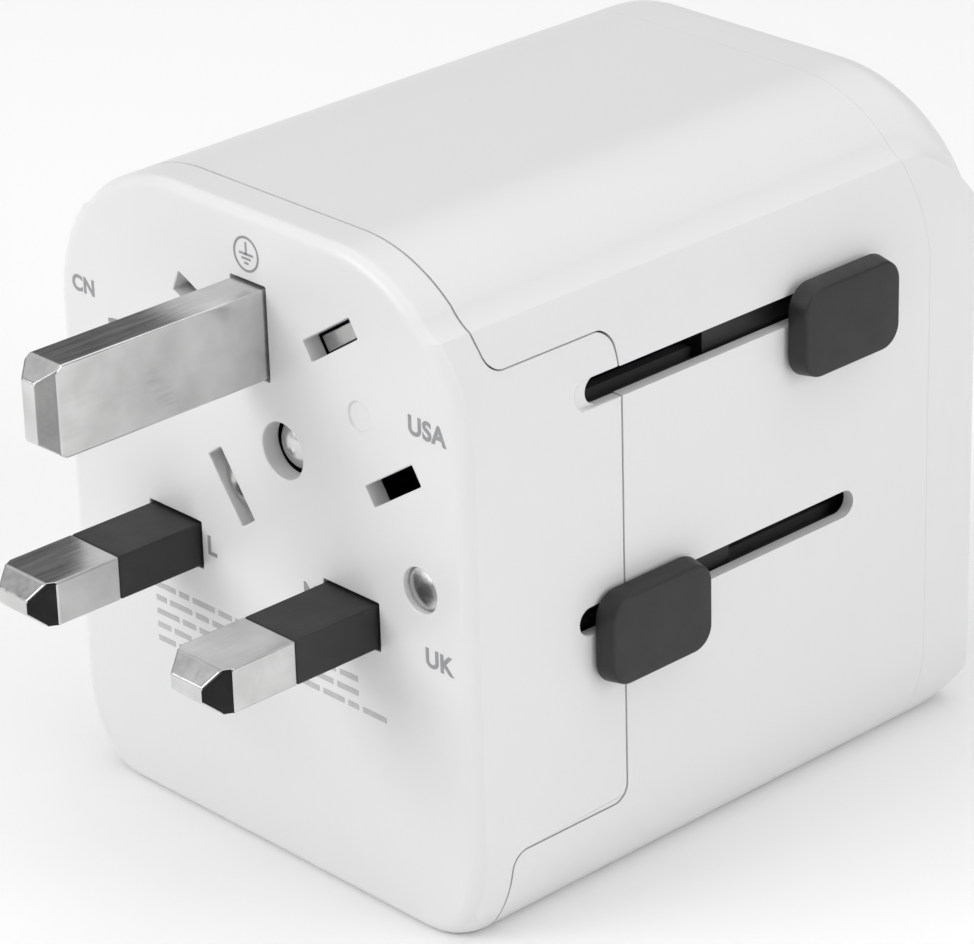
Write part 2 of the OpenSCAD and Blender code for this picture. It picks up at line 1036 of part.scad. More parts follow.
module eu_carriage() {
    carriage(travel)
        difference() {
            union() {
                slab(plate_y, plate_y + plate_t) {
                    rect(-strip_x0, -16, slot_lo - link_h / 2, slot_lo + link_h / 2);
                    rect(-link_x, -15.9, -8, 1.4);
                    rect(-21, 15, -8, -3.6);
                    translate(eu_c2)
                        circle(r = eu_pin_r + 1.2);
                }
                // thin arm in front of the UK carriage's link
                slab(plate_y, plate_y + arm_t)
                    rect(14, link_x, -8, -3.6);
                slab(plate_y, plate_y + arm_t)
                    rect(18.2, link_x, -8, eu_c1[1]);
                slab(plate_y, plate_y + plate_t + 1)
                    translate(eu_c1)
                        circle(r = eu_pin_r + 0.9);
            }
            slab(0, 20)
                for (c = [eu_c1, eu_c2])
                    translate(c)
                        circle(r = eu_pin_r);
        }
}

module eu_strip() {
    side_strip(-1, slot_lo, travel);
}

module eu_pin_1() {
    round_pin(eu_c1, eu_pin_r, eu_pin_l, eu_dome * eu_pin_r);
}

module eu_pin_2() {
    round_pin(eu_c2, eu_pin_r, eu_pin_l, eu_dome * eu_pin_r);
}

module eu_knob() {
    knob(-1, slot_lo, travel);
}

front_cover();
main_shell();
rear_cover();
socket_housing();
screw_1();
screw_2();
screw_3();
screw_4();
live_busbar();
neutral_busbar();
earth_busbar();
circuit_board();
usb_port_1();
usb_port_2();
transformer();
capacitor();
fuse();
indicator_led();
shutter_spring();
shutter();
uk_guide();
us_guide();
cn_guide();
eu_guide();
uk_carriage();
uk_link();
uk_strip();
uk_earth_pin();
uk_live_pin();
uk_neutral_pin();
uk_live_sleeve();
uk_neutral_sleeve();
uk_knob();
us_carriage();
us_strip();
us_live_blade();
us_neutral_blade();
us_earth_pin();
us_knob();
cn_carriage();
cn_strip();
cn_live_blade();
cn_neutral_blade();
cn_earth_blade();
cn_knob();
eu_carriage();
eu_strip();
eu_pin_1();
eu_pin_2();
eu_knob();
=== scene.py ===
"""Looks of the universal travel adapter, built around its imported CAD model.

Metres, +Z up, plug pins point to -Y, the rear socket faces +Y, +X is the side
with the UK and USA sliders.  The origin is the centre of the underside.
"""
import json
import math

import bmesh
import bpy
from mathutils import Matrix, Vector


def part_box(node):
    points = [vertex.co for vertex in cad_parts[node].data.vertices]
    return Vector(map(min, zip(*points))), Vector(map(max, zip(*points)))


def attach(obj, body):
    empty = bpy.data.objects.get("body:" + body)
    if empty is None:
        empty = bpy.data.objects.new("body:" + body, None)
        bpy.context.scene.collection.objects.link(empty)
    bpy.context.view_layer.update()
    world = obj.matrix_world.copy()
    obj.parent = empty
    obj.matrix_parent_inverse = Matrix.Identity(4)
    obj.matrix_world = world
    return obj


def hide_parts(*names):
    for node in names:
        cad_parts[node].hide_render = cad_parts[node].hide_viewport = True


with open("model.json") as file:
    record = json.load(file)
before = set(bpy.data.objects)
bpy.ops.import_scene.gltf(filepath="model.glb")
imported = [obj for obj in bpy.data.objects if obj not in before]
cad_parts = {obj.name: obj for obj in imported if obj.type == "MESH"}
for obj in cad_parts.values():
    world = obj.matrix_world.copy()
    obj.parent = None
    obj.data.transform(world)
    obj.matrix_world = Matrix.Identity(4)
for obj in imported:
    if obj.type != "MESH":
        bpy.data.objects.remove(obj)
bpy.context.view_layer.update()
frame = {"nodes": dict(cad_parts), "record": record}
MM = 0.001

# the pin face and the live-neutral line, which every drawing below starts from
FACE_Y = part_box("front_cover")[0].y
LINE_Z = (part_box("uk_live_pin")[0].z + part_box("uk_live_pin")[1].z) / 2

BODY_OF = {
    node: body
    for body, nodes in frame["record"]["behaviour"]["bodies"].items()
    for node in nodes
}
SLOT_OF = {part["node"]: part["material_slot"] for part in frame["record"]["subparts"]}


# ---------------------------------------------------------------- materials

def new_material(name):
    """A new material with its node tree and its Principled shader."""
    material = bpy.data.materials.new(name)
    material.use_nodes = True
    shader = material.node_tree.nodes["Principled BSDF"]
    return material, material.node_tree, shader


def object_noise(tree, scale, detail=3.0, stretch=(1.0, 1.0, 1.0)):
    """Noise over the object's own coordinates; scale counts features per metre."""
    coords = tree.nodes.new("ShaderNodeTexCoord")
    mapping = tree.nodes.new("ShaderNodeMapping")
    mapping.inputs["Scale"].default_value = stretch
    noise = tree.nodes.new("ShaderNodeTexNoise")
    noise.inputs["Scale"].default_value = scale
    noise.inputs["Detail"].default_value = detail
    tree.links.new(coords.outputs["Object"], mapping.inputs["Vector"])
    tree.links.new(mapping.outputs["Vector"], noise.inputs["Vector"])
    return noise.outputs["Fac"]


# most of a noise texture's values lie between these two
NOISE_LOW = 0.3
NOISE_HIGH = 0.7


def remap(tree, value, low, high):
    """A noise value spread over low to high."""
    node = tree.nodes.new("ShaderNodeMapRange")
    node.inputs["From Min"].default_value = NOISE_LOW
    node.inputs["From Max"].default_value = NOISE_HIGH
    node.inputs["To Min"].default_value = low
    node.inputs["To Max"].default_value = high
    tree.links.new(value, node.inputs["Value"])
    return node.outputs["Result"]


def two_tone(tree, value, dark, light):
    """Colour between dark and light by a noise value."""
    mix = tree.nodes.new("ShaderNodeMix")
    mix.data_type = "RGBA"
    mix.inputs["A"].default_value = (*dark, 1)
    mix.inputs["B"].default_value = (*light, 1)
    tree.links.new(remap(tree, value, 0.0, 1.0), mix.inputs["Factor"])
    return mix.outputs["Result"]


def add_bump(tree, shader, height, strength, distance):
    """Surface relief from a height value; distance is its depth in metres."""
    bump = tree.nodes.new("ShaderNodeBump")
    bump.inputs["Strength"].default_value = strength
    bump.inputs["Distance"].default_value = distance
    tree.links.new(height, bump.inputs["Height"])
    tree.links.new(bump.outputs["Normal"], shader.inputs["Normal"])


def plastic(name, dark, light, roughness, grain, grain_depth):
    """Moulded plastic: slight colour drift, uneven gloss and a fine moulded grain."""
    material, tree, shader = new_material(name)
    drift = object_noise(tree, 60, 4)
    tree.links.new(two_tone(tree, drift, dark, light), shader.inputs["Base Color"])
    gloss = object_noise(tree, 400, 5)
    tree.links.new(remap(tree, gloss, *roughness), shader.inputs["Roughness"])
    add_bump(tree, shader, object_noise(tree, grain, 2), 0.35, grain_depth)
    return material


def metal(name, dark, light, roughness, stretch, scratch, scratch_depth):
    """Plated or rolled metal with fine drawn lines."""
    material, tree, shader = new_material(name)
    shader.inputs["Metallic"].default_value = 1.0
    drift = object_noise(tree, 300, 4)
    tree.links.new(two_tone(tree, drift, dark, light), shader.inputs["Base Color"])
    lines = object_noise(tree, scratch, 4, stretch)
    tree.links.new(remap(tree, lines, *roughness), shader.inputs["Roughness"])
    add_bump(tree, shader, lines, 0.25, scratch_depth)
    return material


def board_material():
    """Green solder mask with paler copper areas under it."""
    material, tree, shader = new_material("board_mask")
    coords = tree.nodes.new("ShaderNodeTexCoord")
    brick = tree.nodes.new("ShaderNodeTexBrick")
    brick.inputs["Scale"].default_value = 260
    brick.inputs["Color1"].default_value = (0.004, 0.09, 0.03, 1)
    brick.inputs["Color2"].default_value = (0.008, 0.14, 0.05, 1)
    brick.inputs["Mortar"].default_value = (0.02, 0.22, 0.08, 1)
    tree.links.new(coords.outputs["Object"], brick.inputs["Vector"])
    tree.links.new(brick.outputs["Color"], shader.inputs["Base Color"])
    add_bump(tree, shader, brick.outputs["Fac"], 0.2, 0.00003)
    shader.inputs["Roughness"].default_value = 0.35
    return material


def lens_material():
    """Blue tinted lens of the power light."""
    material, tree, shader = new_material("lens_blue")
    tint = two_tone(tree, object_noise(tree, 900), (0.04, 0.16, 0.75), (0.08, 0.26, 0.95))
    tree.links.new(tint, shader.inputs["Base Color"])
    shader.inputs["Roughness"].default_value = 0.12
    shader.inputs["Coat Weight"].default_value = 0.6
    return material


def print_material(name, dark, light):
    """Pad-printed ink."""
    material, tree, shader = new_material(name)
    ink = two_tone(tree, object_noise(tree, 2500), dark, light)
    tree.links.new(ink, shader.inputs["Base Color"])
    shader.inputs["Roughness"].default_value = 0.55
    return material


def floor_material():
    """Pale studio sweep."""
    material, tree, shader = new_material("studio_floor")
    tone = two_tone(tree, object_noise(tree, 3), (0.93, 0.93, 0.93), (0.95, 0.95, 0.95))
    tree.links.new(tone, shader.inputs["Base Color"])
    shader.inputs["Roughness"].default_value = 0.9
    return material


ALONG_PIN = (1.0, 0.05, 1.0)
FINISH = {
    "white_plastic": plastic("shell_white", (0.746, 0.748, 0.75), (0.756, 0.756, 0.756),
                             (0.29, 0.33), 5200, 0.000004),
    "black_plastic": plastic("moulded_black", (0.011, 0.011, 0.012), (0.015, 0.015, 0.016),
                             (0.48, 0.56), 5000, 0.00004),
    "pin_metal": metal("nickel_plate", (0.56, 0.56, 0.555), (0.70, 0.70, 0.695),
                       (0.17, 0.27), ALONG_PIN, 2600, 0.000012),
    "contact_brass": metal("contact_brass", (0.62, 0.42, 0.14), (0.80, 0.60, 0.26),
                           (0.2, 0.36), ALONG_PIN, 1800, 0.00002),
    "steel": metal("plated_steel", (0.50, 0.50, 0.51), (0.66, 0.66, 0.67),
                   (0.2, 0.4), (1.0, 1.0, 1.0), 1500, 0.00002),
    "board": board_material(),
    "component": plastic("winding_tape", (0.62, 0.50, 0.06), (0.76, 0.63, 0.12),
                         (0.4, 0.5), 1500, 0.00004),
    "can": plastic("capacitor_sleeve", (0.01, 0.015, 0.07), (0.02, 0.03, 0.12),
                   (0.25, 0.35), 1500, 0.00002),
    "ceramic": plastic("ceramic_body", (0.72, 0.69, 0.62), (0.80, 0.78, 0.71),
                       (0.15, 0.3), 1500, 0.00002),
    "lens": lens_material(),
}
# darker metals for the tip facets of the UK pins: painted reflection
PAINTED_REFLECTION_GREY = metal("reflection_painted_grey", (0.30, 0.30, 0.30), (0.38, 0.38, 0.375), (0.5, 0.65),
                   ALONG_PIN, 3000, 0.00004)
PAINTED_REFLECTION_DARK = metal("reflection_painted_dark", (0.02, 0.02, 0.02), (0.035, 0.035, 0.035), (0.35, 0.5),
                   ALONG_PIN, 3000, 0.00002)
# the guides' black is painted lighter against the shadow they sit in (painted light); the
# strips' black is painted darker (painted shade)
GUIDE_PAINTED_LIGHT = plastic("guide_black_painted_light", (0.045, 0.045, 0.046), (0.055, 0.055, 0.056), (0.4, 0.5),
                5000, 0.00003)
STRIP_PAINTED_SHADE = plastic("strip_black_painted_shade", (0.004, 0.004, 0.004), (0.006, 0.006, 0.006), (0.4, 0.5),
                5000, 0.00003)
PRINT = print_material("print_grey", (0.27, 0.275, 0.28), (0.32, 0.325, 0.33))
PALE_PRINT = print_material("print_pale", (0.46, 0.465, 0.47), (0.51, 0.515, 0.52))


# ---------------------------------------------------------------- mesh helpers

WELD = 1e-6
FLAT_ANGLE = math.radians(0.5)
# edges that turn less than this belong to a curved wall and stay as they are
EDGE_ANGLE = math.radians(28)
# turns sharper than this shade as an edge in a cut piece
CREASE_ANGLE = math.radians(16)


def add_piece(mesh, name, body, material):
    """Links a mesh as a named piece that rides on a body."""
    piece = bpy.data.objects.new(name, mesh)
    bpy.context.scene.collection.objects.link(piece)
    mesh.materials.clear()
    mesh.materials.append(material)
    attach(piece, body)
    return piece


def replace_node(mesh, node):
    """Puts a finer mesh in a CAD node's place."""
    slot = SLOT_OF[node]
    piece = add_piece(mesh, node + "_shape", BODY_OF[node], FINISH[slot])
    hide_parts(node)
    return piece


def welded_copy(node, name):
    """The CAD node's mesh with its split corners joined and flat areas merged."""
    source = frame["nodes"][node].data
    mesh = bpy.data.meshes.new(name)
    corners = [vertex.co for vertex in source.vertices]
    mesh.from_pydata(corners, [], [face.vertices[:] for face in source.polygons])
    work = bmesh.new()
    work.from_mesh(mesh)
    bmesh.ops.remove_doubles(work, verts=work.verts, dist=WELD)
    bmesh.ops.dissolve_limit(work, angle_limit=FLAT_ANGLE, verts=work.verts, edges=work.edges)
    work.to_mesh(mesh)
    work.free()
    return mesh


def add_bevel(piece, width, segments):
    """Rounds a piece's edges with a modifier; width in metres."""
    bevel = piece.modifiers.new("edge_round", "BEVEL")
    bevel.width = width
    bevel.segments = segments
    bevel.limit_method = "ANGLE"
    bevel.angle_limit = EDGE_ANGLE
    bevel.use_clamp_overlap = False
    return bevel


def rounded_node(node, width, segments=3):
    """The CAD node's own shape with rounded edges, in the node's place."""
    piece = replace_node(welded_copy(node, node + "_shape"), node)
    add_bevel(piece, width, segments).harden_normals = True
    piece.data.shade_smooth()
    piece.data.set_sharp_from_angle(angle=EDGE_ANGLE)
    return piece


# ---------------------------------------------------------------- lofts and cuts
# Drawings are in millimetres in the face frame: X across, Y into the body from the
# pin face, Z up from the live-neutral line.

def from_face(x, y, z):
    """A point of the face frame as a point of the model, in metres."""
    return Vector((x * MM, FACE_Y + y * MM, LINE_Z + z * MM))


def loft(rings, name):
    """A closed mesh through rings of equally many points, with flat ends."""
    mesh = bpy.data.meshes.new(name)
    work = bmesh.new()
    rows = [[work.verts.new(point) for point in ring] for ring in rings]
    count = len(rows[0])
    for near, far in zip(rows, rows[1:]):
        for i in range(count):
            j = (i + 1) % count
            work.faces.new((near[i], near[j], far[j], far[i]))
    work.faces.new(rows[0])
    work.faces.new(reversed(rows[-1]))
    bmesh.ops.recalc_face_normals(work, faces=work.faces)
    work.to_mesh(mesh)
    work.free()
    return mesh


def prism_y(outline, y0, y1):
    """An X-Z outline carried from y0 to y1."""
    return loft([[from_face(x, y, z) for x, z in outline] for y in (y0, y1)], "cutter")


def prism_x(outline, x0, x1):
    """A Y-Z outline carried from x0 to x1."""
    return loft([[from_face(x, y, z) for y, z in outline] for x in (x0, x1)], "cutter")


def arc(centre, radius, start, end, steps):
    """Points of an arc from start to end, in degrees."""
    turns = [math.radians(start + (end - start) * i / steps) for i in range(steps + 1)]
    return [(centre[0] + radius * math.cos(t), centre[1] + radius * math.sin(t)) for t in turns]


def circle(centre, radius, count):
    """A round outline with count points."""
    return arc(centre, radius, 0, 360 - 360 / count, count - 1)


def rectangle(x0, x1, z0, z1):
    return [(x0, z0), (x1, z0), (x1, z1), (x0, z1)]


def box_about(x, z, half_x, half_z):
    """A rectangle given by its middle and its half sizes."""
    return rectangle(x - half_x, x + half_x, z - half_z, z + half_z)


def rounded_rectangle(x0, x1, z0, z1, radius, steps=8):
    corners = ((x1 - radius, z1 - radius, 0), (x0 + radius, z1 - radius, 90),
               (x0 + radius, z0 + radius, 180), (x1 - radius, z0 + radius, 270))
    points = []
    for x, z, start in corners:
        points += arc((x, z), radius, start, start + 90, steps)
    return points


def turned(outline, centre, degrees):
    """An outline drawn about the origin, turned and moved to a centre."""
    c, s = math.cos(math.radians(degrees)), math.sin(math.radians(degrees))
    return [(centre[0] + c * x - s * z, centre[1] + s * x + c * z) for x, z in outline]


def combine(mesh, cutter, operation):
    """Applies one boolean and returns the new mesh."""
    target = bpy.data.objects.new("target", mesh)
    tool = bpy.data.objects.new("tool", cutter)
    for obj in (target, tool):
        bpy.context.scene.collection.objects.link(obj)
    modifier = target.modifiers.new("cut", "BOOLEAN")
    modifier.operation = operation
    modifier.object = tool
    modifier.solver = "EXACT"
    evaluated = target.evaluated_get(bpy.context.evaluated_depsgraph_get())
    result = bpy.data.meshes.new_from_object(evaluated)
    for obj in (target, tool):
        bpy.data.objects.remove(obj)
    bpy.data.meshes.remove(cutter)
    return result


def carve(mesh, cutters):
    """The mesh with every cutter taken out of it."""
    for cutter in cutters:
        mesh = combine(mesh, cutter, "DIFFERENCE")
    return mesh


# ---------------------------------------------------------------- housing

# the case: a rounded body, and side panels that stand out from it between two ledges
CORE_HALF = 25.0
TOP = 32.4
BOTTOM = -26.6
CORNER_R = 15.0
LOW_TURN = 8.6
DEPTH = 62.0
WALL = 1.8
FACE_T = 1.8
PANEL_HALF = 25.4
PANEL_R = 13.4
PANEL_TOP = 31.4
LEDGE_HI = 27.0
LEDGE_LO = -25.6

# the hollow line above each panel, and the step below it
SHADE = 1.7
DIP = 0.3
DIP_AT = 0.3 * SHADE
LOW_SHADE = 0.4

# the lower corners: how far they lean in at the bottom, and climb near the pin face
FOOT_RUN = 1.1
FOOT_RISE = 3.5
FOOT_END_Y = 3.6
FOOT_DEPTHS = (1.5, 2.0, 2.5, 3.0, FOOT_END_Y)

# rounding of the front edge, then of the rear edges of the body and of its panels
FRONT_R = 1.0
REAR_R = 3.5
REAR_SIDE_R = 1.8
PANEL_TOP_RUN = 6.5
PANEL_TOP_DROP = 8.5
PANEL_LOW_R = 5.0
PANEL_PLAN_R = 2.5
STRAIGHT_END_Y = 52.5
PANEL_STEP = 0.75

# the seams; the front one runs back around a tongue on each side
SEAM_Y = 4.0
SEAM_GAP = 0.14
REAR_SEAM_Y = 54.5
REAR_GAP = 0.02
TONGUE_END_Y = 17.2
TONGUE_LOW = -18.5
TONGUE_HIGH = 23.9
TONGUE_R = 1.6

# the slider slots and the channel behind each; an upper slot starts with a shallow recess
SLOT_Y = (12.1, 45.0)
SLOT_R = 1.25
SLOT_Z = (19.6, -0.5)
SLOT_STEP = 1.5
RECESS_X = 24.9
CHANNEL_Y = (4.4, 55.8)
CHANNEL_HALF = 2.4
CHANNEL_X = 24.3

# cutters start well inside the case and end well outside it
CUT_FROM_X = 20
CUT_TO_X = 30
BEYOND = 3


def side_x(z, half, top, radius_x, radius_z):
    """How far a section with elliptic corners reaches sideways at height z."""
    past = max(z - top + radius_z, 0) or min(z - BOTTOM - LOW_TURN, 0)
    return half - radius_x * (1 - math.sqrt(max(1 - (past / radius_z) ** 2, 0)))


def core_x(z, inset, side_inset):
    """The body's reach at height z, for a section drawn in by the two insets."""
    return side_x(z, CORE_HALF - side_inset, TOP - inset, CORNER_R - side_inset,
                  CORNER_R - inset)


def panel_x(z):
    """The side panels' reach at height z."""
    return side_x(z, PANEL_HALF, PANEL_TOP, PANEL_R, PANEL_R)


def bend(p0, p1, p2, steps=8):
    """Points of a quadratic curve after p0."""
    return [tuple((1 - t) ** 2 * a + 2 * t * (1 - t) * b + t * t * c
                  for a, b, c in zip(p0, p1, p2))
            for t in (i / steps for i in range(1, steps + 1))]


def half_section(inset, side_inset, proud, top_drop, low_drop, plan_inset):
    """The right half of the case's section, from the top centre to the bottom centre.

    proud runs from 0, no side panels, to 1, panels at their full height.
    """
    high = LEDGE_HI - top_drop
    low = LEDGE_LO + low_drop
    flat = CORE_HALF - CORNER_R
    radius_x = CORNER_R - side_inset
    radius_z = CORNER_R - inset

    def own_x(z):
        return core_x(z, inset, side_inset)

    def edge_x(z):
        shown = min(panel_x(z), PANEL_HALF - plan_inset)
        base = own_x(z) if proud == 1 else core_x(z, 0, 0)
        return own_x(z) + proud * max(shown - base, 0)

    start = math.degrees(math.asin((high + SHADE - TOP + CORNER_R) / radius_z))
    points = [(0, TOP - inset)]
    points += [(flat + radius_x * x, TOP - CORNER_R + radius_z * z)
               for x, z in arc((0, 0), 1, 90, start, 14)]
    turn = high + DIP_AT
    points += bend(points[-1], (own_x(turn) - DIP * proud, turn), (edge_x(high), high))
    top_arc = [high + (PANEL_TOP - PANEL_R - high) * math.sin(math.pi / 2 * i / 10)
               for i in range(1, 11)]
    turn_z = BOTTOM + LOW_TURN
    low_arc = [turn_z + (low - turn_z) * i / 8 for i in range(9)]
    points += [(edge_x(z), z) for z in top_arc + low_arc]
    base = BOTTOM + inset
    settle = max(low - LOW_SHADE, base + 0.05)
    corner = (own_x(base), base)
    points.append((own_x(settle), settle))
    points += bend(points[-1], corner, (corner[0] - FOOT_RUN * (settle - base), base), 6)
    points.append((0, base))
    return points


def whole_section(*shape):
    """The section mirrored to both sides."""
    right = half_section(*shape)
    return right + [(-x, z) for x, z in reversed(right[1:-1])]


def round_off(y, run, drop=None):
    """How far a rear edge has turned in at depth y; round unless drop differs from run."""
    past = max((y - DEPTH + run) / run, 0)
    return (drop or run) * (1 - math.sqrt(max(1 - past * past, 0)))


def foot_rise(y):
    """How far the rounded lower corners climb at the face; they tighten just behind it."""
    left = max(1 - y / FOOT_END_Y, 0)
    return FOOT_RISE * left * left


def skin():
    """The closed outer form of the whole case."""
    rings = []
    steps = 8
    for i in range(steps + 1):
        turn = math.pi / 2 * i / steps
        y = FRONT_R * (1 - math.cos(turn))
        inset = FRONT_R * (1 - math.sin(turn))
        rings.append((y, whole_section(inset, inset, i / steps, 0, foot_rise(y), 0)))
    for y in FOOT_DEPTHS:
        rings.append((y, whole_section(0, 0, 1, 0, foot_rise(y), 0)))
    depths = [STRAIGHT_END_Y] + [DEPTH - PANEL_TOP_RUN + PANEL_STEP * i for i in range(4)]
    depths += [DEPTH - REAR_R * (1 - math.sin(math.pi / 2 * i / 12)) for i in range(13)]
    for y in depths:
        shape = (round_off(y, REAR_R), round_off(y, REAR_SIDE_R), 1,
                 round_off(y, PANEL_TOP_RUN, PANEL_TOP_DROP), round_off(y, PANEL_LOW_R),
                 round_off(y, PANEL_PLAN_R))
        rings.append((y, whole_section(*shape)))
    return loft([[from_face(x, y, z) for x, z in ring] for y, ring in rings], "skin")


def inner_section(inset):
    """The body's section drawn in by a wall thickness."""
    radius = CORNER_R - inset
    finish = -math.degrees(math.asin((LOW_TURN - inset) / radius))
    half = [(0, TOP - inset)]
    half += arc((CORE_HALF - CORNER_R, TOP - CORNER_R), radius, 90, 0, 16)
    half += arc((CORE_HALF - CORNER_R, BOTTOM + LOW_TURN), radius, 0, finish, 8)
    half.append((0, BOTTOM + inset))
    return half + [(-x, z) for x, z in reversed(half[1:-1])]


def tongue_path(gap):
    """Y-Z points down the front seam, round the side tongue and on to the bottom."""
    end, low, high = TONGUE_END_Y + gap, TONGUE_LOW - gap, TONGUE_HIGH + gap
    seam = SEAM_Y + gap
    small = TONGUE_R - gap
    points = [(seam, TOP + BEYOND)]
    points += arc((seam + small, high + small), small, 180, 270, 8)
    points += arc((end - TONGUE_R, high - TONGUE_R), TONGUE_R, 90, 0, 8)
    points += arc((end - TONGUE_R, low + TONGUE_R), TONGUE_R, 0, -90, 8)
    points += arc((seam + small, low - small), small, 90, 180, 8)
    points.append((seam, BOTTOM - BEYOND))
    return points


def slot_cutters():
    """The slider slots on both sides and the channels behind them."""
    cutters = []
    y0, y1 = SLOT_Y
    for side in (-1, 1):
        for z, step in zip(SLOT_Z, (SLOT_STEP, 0)):
            slot = rounded_rectangle(y0 + step, y1, z - SLOT_R, z + SLOT_R, SLOT_R, 12)
            cutters.append(prism_x(slot, side * CUT_FROM_X, side * CUT_TO_X))
            if step:
                recess = rounded_rectangle(y0, y1, z - SLOT_R, z + SLOT_R, SLOT_R, 12)
                cutters.append(prism_x(recess, side * RECESS_X, side * CUT_TO_X))
            channel = rectangle(*CHANNEL_Y, z - CHANNEL_HALF, z + CHANNEL_HALF)
            cutters.append(prism_x(channel, side * CUT_FROM_X, side * CHANNEL_X))
    return cutters


# the pin face: each plug's place, its turn, and its pins' places about its own centre
PIN_GAP = 0.2
BLADE = 6.35
UK_X = 11.115
UK_EARTH_Z = 22.23
UK_PIN = 4
UK_EARTH = 8
US_CENTRE = (13.28, 18.75)
US_TILT = 33
US_THICK = 1.5
US_BLADE_Z = 6.35
US_EARTH_X = -11.86
US_EARTH_HOLE_R = 2.5
CN_CENTRE = (-9.46, 15.23)
CN_TILT = 35.5
CN_THICK = 1.6
CN_BLADE = (6.86, 3.96)
CN_BLADE_TURN = 60
CN_EARTH_Z = -10.31
EU_HOLES = ((19.5, 5.1), (3.05, -4.15))
EU_HOLE_R = 2.0
DIMPLE = (US_CENTRE[0] - 0.3, US_CENTRE[1] - 0.4)
DIMPLE_R = 1.3
DIMPLE_DEPTH = 0.2


def blade_outline(length, width):
    """A blade's opening, drawn about the origin."""
    return box_about(0, 0, length / 2 + PIN_GAP, width / 2 + PIN_GAP)


def face_openings():
    """The pin face's slots and holes."""
    shapes = [turned(blade_outline(UK_PIN, UK_EARTH), (0, UK_EARTH_Z), 0)]
    us_slot = blade_outline(BLADE, US_THICK)
    cn_slot = blade_outline(BLADE, CN_THICK)
    for side in (-1, 1):
        shapes.append(turned(blade_outline(BLADE, UK_PIN), (side * UK_X, 0), 0))
        blade = turned(us_slot, (0, side * US_BLADE_Z), 0)
        shapes.append(turned(blade, US_CENTRE, US_TILT))
        blade = turned(cn_slot, (side * CN_BLADE[0], CN_BLADE[1]), -side * CN_BLADE_TURN)
        shapes.append(turned(blade, CN_CENTRE, CN_TILT))
    shapes.append(turned(turned(cn_slot, (0, CN_EARTH_Z), 90), CN_CENTRE, CN_TILT))
    shapes.append(turned(circle((US_EARTH_X, 0), US_EARTH_HOLE_R, 60), US_CENTRE, US_TILT))
    shapes += [circle(centre, EU_HOLE_R, 54) for centre in EU_HOLES]
    cutters = [prism_y(shape, -1, FACE_T + 1) for shape in shapes]
    cutters.append(prism_y(circle(DIMPLE, DIMPLE_R, 45), -1, DIMPLE_DEPTH))
    return cutters


# corners closer than this after the cuts are one
CUT_WELD = 0.02 * MM
FRONT_EDGE_R = 0.1 * MM


def soften(piece, width=0):
    """Rounds the hard edges of a cut piece and keeps its flat areas flat."""
    work = bmesh.new()
    work.from_mesh(piece.data)
    bmesh.ops.remove_doubles(work, verts=work.verts, dist=CUT_WELD)
    work.to_mesh(piece.data)
    work.free()
    if width:
        add_bevel(piece, width, 2).miter_outer = "MITER_ARC"
    piece.data.shade_smooth()
    piece.data.set_sharp_from_angle(angle=CREASE_ANGLE)
    weighted = piece.modifiers.new("flat_normals", "WEIGHTED_NORMAL")
    weighted.keep_sharp = True
    weighted.weight = 80


def part_of(body, region):
    """The slice of the case that a Y-Z region covers, over its whole width."""
    return combine(body.copy(), prism_x(region, -CUT_TO_X, CUT_TO_X), "INTERSECT")


def build_front_cover(body):
    """The pin face with its rim and side tongues."""
    ahead = -2
    region = [(ahead, BOTTOM - BEYOND), (ahead, TOP + BEYOND)] + tongue_path(0)
    cutters = [prism_y(inner_section(WALL), FACE_T, TONGUE_END_Y + BEYOND)]
    cutters += face_openings() + slot_cutters()
    cover = carve(part_of(body, region), cutters)
    soften(replace_node(cover, "front_cover"), FRONT_EDGE_R)


def build_main_shell(body):
    """The open sleeve between the two seams."""
    region = tongue_path(SEAM_GAP)
    region += [(REAR_SEAM_Y, BOTTOM - BEYOND), (REAR_SEAM_Y, TOP + BEYOND)]
    cutters = [prism_y(inner_section(WALL), 0, DEPTH)] + slot_cutters()
    soften(replace_node(carve(part_of(body, region), cutters), "main_shell"))


# the rear cover: middles and half sizes of its openings, about the rear socket's own line
REAR_LINE = 1.0
REAR_UK = (3.5, 2.4)
REAR_EARTH = (2.3, 4.3)
REAR_EU_X = 9.5
REAR_EU_R = 2.6
REAR_US_X = 6.35
REAR_US = (1.1, 3.7)
USB_X = 10.2
USB_Z = -17.4
USB = (6.8, 3.1)
USB_CORNER_R = 0.6
LIGHT = (19.3, -17)
LIGHT_R = 1.55
SCREWS = ((13.5, 25.5), (-13.5, 25.5), (19.8, -9.5), (-19.8, -9.5))
SCREW_R = 1.2
SCREW_HEAD_R = 2.2
SCREW_SEAT_Y = 60.2

# the cover's hollow: the case's own as far as a step, then a narrower one to the end wall
HOLLOW_FROM_Y = 50
STEP_Y = 57
RIM = 4.2
RIM_END_Y = 59.7

# depths in that hollow where the cuts through the end wall start
SOCKET_CUT_Y = 56
NARROW_CUT_Y = 55


def rear_openings():
    """The socket apertures, USB cut-outs, light hole and screw recesses of the rear cover."""
    shapes = []
    for side in (-1, 1):
        x = side * USB_X
        shapes += [box_about(side * UK_X, REAR_LINE, *REAR_UK),
                   circle((side * REAR_EU_X, REAR_LINE), REAR_EU_R, 60),
                   box_about(side * REAR_US_X, REAR_LINE, *REAR_US),
                   rounded_rectangle(x - USB[0], x + USB[0], USB_Z - USB[1], USB_Z + USB[1],
                                     USB_CORNER_R)]
    shapes.append(box_about(0, REAR_LINE + UK_EARTH_Z, *REAR_EARTH))
    out = DEPTH + 1
    cutters = [prism_y(shape, SOCKET_CUT_Y, out) for shape in shapes]
    cutters.append(prism_y(circle(LIGHT, LIGHT_R, 45), NARROW_CUT_Y, out))
    for centre in SCREWS:
        cutters.append(prism_y(circle(centre, SCREW_R, 36), NARROW_CUT_Y, out))
        cutters.append(prism_y(circle(centre, SCREW_HEAD_R, 45), SCREW_SEAT_Y, out))
    return cutters


